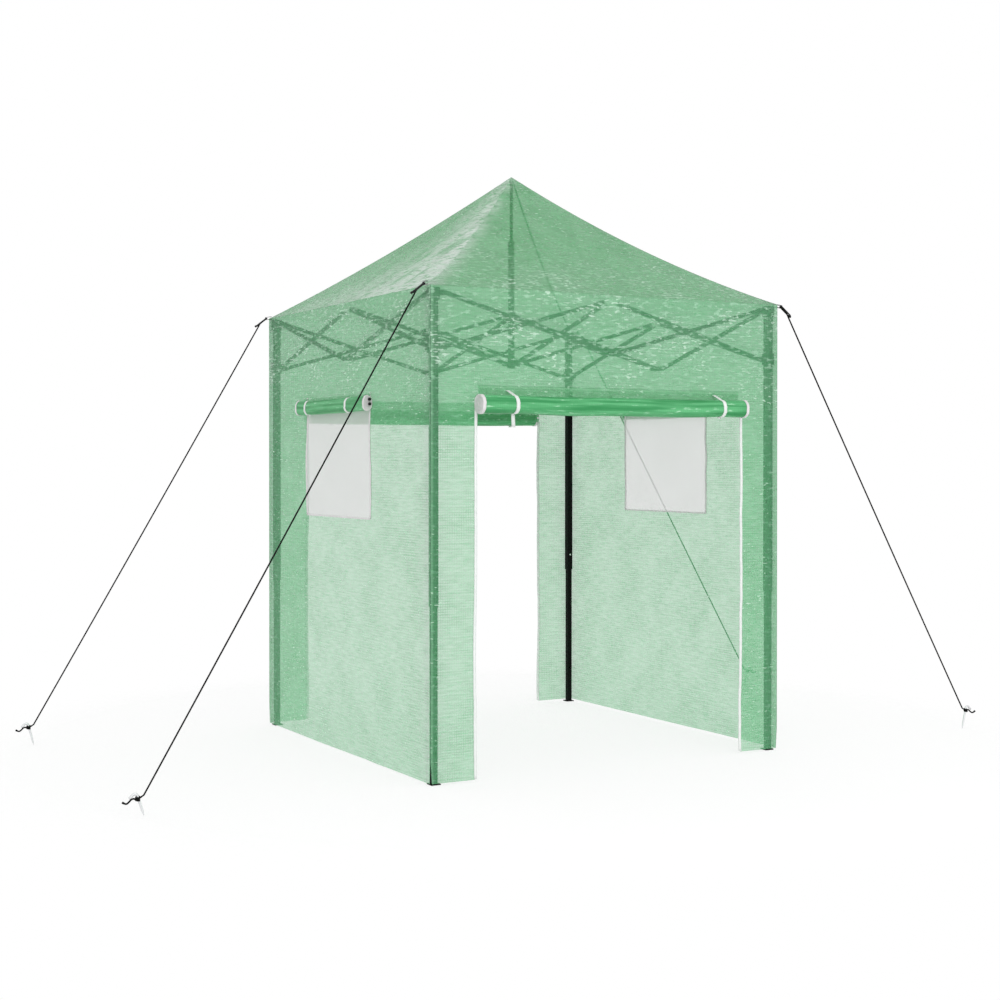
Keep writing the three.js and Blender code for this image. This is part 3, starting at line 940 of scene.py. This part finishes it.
def painted_reflection_at(side, s, r):
    """Painted reflection: whitish streaks along the front left hip, broad on the left face and narrow on the
    front one.
    """
    if SIDES[side] == "left":
        from_hip, reach, strength = (1 - s) * r * HALF, 0.12 + 0.75 * r**3, 1.0
    elif SIDES[side] == "front":
        from_hip, reach, strength = (1 + s) * r * HALF, 0.03, 0.6
    else:
        return 0.0
    low = 0.7 + 0.3 * min(1.0, r / 0.5)
    return math.exp(-((from_hip / reach) ** 2)) * low * strength


def build_roof():
    """One continuous sheet: four faces that share their hips, with hip seams."""
    rows, half_columns = 40, 24
    columns = 2 * half_columns + 1
    edge = HALF + ROOF_OVERLAP
    slope = math.hypot(HALF, ROOF_HIGH.z - EAVE)
    points, seams, painted_reflections, index = [], [], [], {}
    shared, uvs, faces = [], [], []  # shared holds the vertex that each point of each face's grid uses
    for side in range(4):
        faces += [[len(shared) + c for c in face] for face in sheet_faces(rows + 1, columns)]
        for row in range(rows + 1):
            t = row / rows
            r = 1 - t
            for column in range(-half_columns, half_columns + 1):
                s = column / half_columns
                x, y, _ = turned([(s * r * edge, -r * edge, 0.0)], side)[0]
                key = (round(x, 5), round(y, 5))
                if key not in index:
                    index[key] = len(points)
                    points.append((x, y, roof_height(x, y) + roof_ripple(side, x, y, s, t)))
                    seams.append(hip_seam(side, s, r))
                    painted_reflections.append(painted_reflection_at(side, s, r))
                shared.append(index[key])
                uvs.append((s * r * HALF, t * slope))
    mesh_faces, corner_uvs = [], []
    for face in faces:
        ids = [shared[c] for c in face]
        kept = [(i, uvs[c]) for n, (i, c) in enumerate(zip(ids, face)) if i not in ids[:n]]
        if len(kept) >= 3:
            mesh_faces.append([i for i, _ in kept])
            corner_uvs += [uv for _, uv in kept]
    roof = make("roof_sheet", points, mesh_faces, ROOF_SHEET)
    roof.data.uv_layers["sheet"].data.foreach_set("uv", np.array(corner_uvs, np.float32).ravel())
    set_values(roof, "seam_distance", seams)
    set_values(roof, "painted_reflection", painted_reflections)
    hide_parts("roof")
    follow_frame(roof, with_pole=True)


# ---------------------------------------------------------------- guy lines


def build_guy(corner):
    """Cord, slide tensioner, webbing loop at the roof corner, and a hooked peg. out is -1 on the left."""
    out = -1 if corner.endswith("left") else 1
    body = "guy_line_" + corner
    low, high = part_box(body)
    y = (low.y + high.y) / 2
    tie_out, tie_up = TIE_AT[corner]
    tie = Vector((out * tie_out, y, GUY_HIGH.z + tie_up))
    peg_out = -GUY_LOW.x - PEG_HOOK - CAD_PEG_RADIUS
    knot_at = Vector((out * peg_out, y, KNOT_HEIGHT[corner]))
    slide = Vector((out * 0.79, 0, -0.61))
    build_cord(corner, out, tie, slide, knot_at)
    build_tensioner(corner, tie, slide)
    build_corner_loop(corner, out, tie)
    build_peg(corner, out, knot_at)


def build_cord(corner, out, tie, slide, knot_at):
    """The cord from its tie to the peg, wound three times round it, with a loose tail."""
    leaves = tie + slide * 0.026
    run = knot_at + Vector((-out * 0.016, 0, 0.007)) - leaves
    steps = 60
    path = [tie + slide * 0.004, tie + slide * 0.015, leaves]
    for share in (i / steps for i in range(1, steps + 1)):
        path.append(leaves + run * share - Vector((0, 0, 4 * CORD_SAG * share * (1 - share))))
    path += [knot_at + Vector((-out * 0.006, 0, 0.001)), knot_at]

    wraps, turns, count, wide = [], 3, 36, 0.0046
    for i in range(count + 1):
        a = turn_of(i * turns, count)
        wraps.append(knot_at + Vector((wide * math.cos(a), wide * math.sin(a), 0.004 - 0.0095 * i / count)))

    tail = []
    for t in (i / 12 for i in range(13)):
        drop = -0.003 + 0.004 * math.sin(7 * t) - 0.006 * t
        tail.append(knot_at + Vector((out * (0.004 + 0.036 * t), 0.002 * math.sin(5 * t), drop)))

    strands = [
        tube("line", path, 0.0023, CORD),
        tube("wraps", wraps, 0.0024, CORD),
        tube("tail", tail, 0.0024, CORD, taper=lambda t: 1.0 if t < 0.85 else 1.25),
    ]
    cord = join("guy_cord_" + corner, strands)
    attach(cord, "guy_line_" + corner)
    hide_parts("guy_line_" + corner)


def build_tensioner(corner, tie, slide):
    """A plastic slide: two rails, three bars across them, and the stop knot below."""
    side = Vector((0, 1, 0))
    half = 0.0048
    parts = []
    for offset in (-half, half):
        path = [tie + slide * (TENSIONER_LONG * i / 8) + side * offset for i in range(9)]
        parts.append(tube("rail", path, 0.0022, BLACK))
    for share in (0.0, 0.62, 1.0):
        bar = [tie + slide * (TENSIONER_LONG * share) + side * (half * k) for k in (-1, -0.5, 0, 0.5, 1)]
        parts.append(tube("bar", bar, 0.0028, BLACK))
    lift = slide.cross(side)
    knot = [tie + slide * (TENSIONER_LONG + 0.001 + 0.002 * i) - lift * 0.001 for i in range(4)]
    parts.append(tube("stop_knot", knot, 0.0034, BLACK))
    tensioner = join("guy_tensioner_" + corner, parts)
    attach(tensioner, "guy_line_" + corner)


def build_corner_loop(corner, out, tie):
    """The webbing loop sewn in the corner seam: out over the tensioner's bar and back under it."""
    seam_x = out * (HALF - 0.001)
    stops = (  # x, height over the tie, and the way the tape faces
        (seam_x, 0.006, (0, 0, 1)),
        (seam_x + out * 0.006, 0.006, (0, 0, 1)),
        (tie.x + out * 0.001, 0.0035, (out * 0.5, 0, 0.8)),
        (tie.x + out * 0.0025, -0.001, (out, 0, 0)),
        (tie.x - out * 0.001, -0.0035, (0, 0, -1)),
        (seam_x + out * 0.005, -0.001, (0, 0, -1)),
        (seam_x, -0.001, (0, 0, -1)),
    )
    path = [(x, tie.y, tie.z + height) for x, height, _ in stops]
    across = [(0, 0.0042, 0)] * len(stops)
    loop = tape("corner_loop_" + corner, path, across, [faces for _, _, faces in stops], 0.0012, BLACK)
    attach(loop, "leg_" + corner)


def build_peg(corner, out, knot_at):
    """A round steel peg with a pointed foot and a shepherd's hook, leaning away from the pull of the line."""
    x, y, foot, top = knot_at.x, knot_at.y, 0.0005, knot_at.z + 0.004
    path = []
    for t in (0.0, 0.1, 0.25, 0.5, 0.8, 1.0):
        path.append((x - out * PEG_LEAN * (1 - t), y, foot + (top - foot) * t))
    bend = PEG_HOOK * 0.55
    for a in (turn_of(k, 32) for k in range(1, 13)):
        path.append((x + out * bend * (1 - math.cos(a)), y, top + bend * math.sin(a)))
    tip_x, _, tip_z = path[-1]
    path += [(tip_x + out * 0.005, y, tip_z - 0.005), (tip_x + out * 0.009, y, tip_z - 0.008)]
    peg = tube("peg_" + corner, path, PEG_RADIUS, ZINC, 12, lambda t: min(1.0, 0.3 + t * 6))
    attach(peg, "guy_line_" + corner)


# ---------------------------------------------------------------- carried-over CAD pieces


def dress_frame():
    """Gives every CAD piece that stays in view its material."""
    for name, obj in frame["nodes"].items():
        if name.startswith("leg_button"):
            material = CHROME
        elif name.startswith("slider") or name.endswith("hub"):
            material = BLACK
        elif name.endswith("joint"):
            # the top joints are pale and the bottom ones black: the pale is partly the nylon's own colour and
            # partly a painted highlight on the top joints
            material = PALE if "top" in name else BLACK
        else:
            material = STEEL
        obj.data.materials.clear()
        obj.data.materials.append(material)


# ---------------------------------------------------------------- studio

FLOOR_REACH = 8.0
LAMP_AT = Vector((-0.5, -4.6, 2.8))
LAMP_AIM = Vector((0, 0, 0.9))
CAMERA_AT = (-2.6096, -4.5362, 0.8856)
CAMERA_YAW = 0.4929  # radians from +Y towards +X
CAMERA_PITCH = -0.0069
CAMERA_ZOOM = 1.6176  # lens length as a share of the sensor's width


def aimed(obj, at, ahead):
    """Puts a lamp or a camera in the scene, looking ahead."""
    obj.location = at
    obj.rotation_mode = "QUATERNION"
    obj.rotation_quaternion = ahead.to_track_quat("-Z", "Y")
    bpy.context.scene.collection.objects.link(obj)
    return obj


def build_floor():
    """A pale floor that fades into the white surround."""
    t = Tree("studio_floor")
    parts = t.add("SeparateXYZ", {0: t.place()})
    squares = [t.math("POWER", parts.outputs[axis], 2.0) for axis in (0, 1)]
    radius = t.math("SQRT", t.math("ADD", *squares))
    plain = t.principled(Base_Color=rgb(0.93, 0.93, 0.93), Roughness=0.9)
    clear = t.add("BsdfTransparent").outputs[0]
    faded = t.math("MAXIMUM", t.ramp(radius, 0.7, 1.9), 0.78)
    t.finish(t.mix_shader(faded, plain, clear))
    corners = [(x * FLOOR_REACH, y * FLOOR_REACH, -0.001) for x, y in ((-1, -1), (1, -1), (1, 1), (-1, 1))]
    make("studio_floor", corners, [(0, 1, 2, 3)], t.material)


def build_studio():
    """The floor, a white surround, one broad soft lamp, and the camera."""
    build_floor()
    scene = bpy.context.scene
    scene.world = bpy.data.worlds.new("studio")
    scene.world.use_nodes = True
    sky = scene.world.node_tree.nodes["Background"].inputs
    sky["Color"].default_value = rgb(1.0, 1.0, 1.0)
    sky["Strength"].default_value = 1.0
    scene.view_settings.view_transform = "Standard"

    lamp = bpy.data.lights.new("soft_key", "AREA")
    lamp.energy = 60
    lamp.size = 3.0
    aimed(bpy.data.objects.new("soft_key", lamp), LAMP_AT, LAMP_AIM - LAMP_AT)

    camera = bpy.data.cameras.new("camera")
    camera.sensor_width = 36
    camera.lens = camera.sensor_width * CAMERA_ZOOM
    camera.shift_x = 0.0359
    camera.shift_y = -0.0260
    level = math.cos(CAMERA_PITCH)
    ahead = Vector((math.sin(CAMERA_YAW) * level, math.cos(CAMERA_YAW) * level, math.sin(CAMERA_PITCH)))
    scene.camera = aimed(bpy.data.objects.new("camera", camera), CAMERA_AT, ahead)


dress_frame()
for number in range(len(SIDES)):
    build_wall(number)
    if not is_door(number):
        build_window(number)
    build_roll(number)
build_roof()
for corner_name in CORNERS:
    build_guy(corner_name)
build_studio()
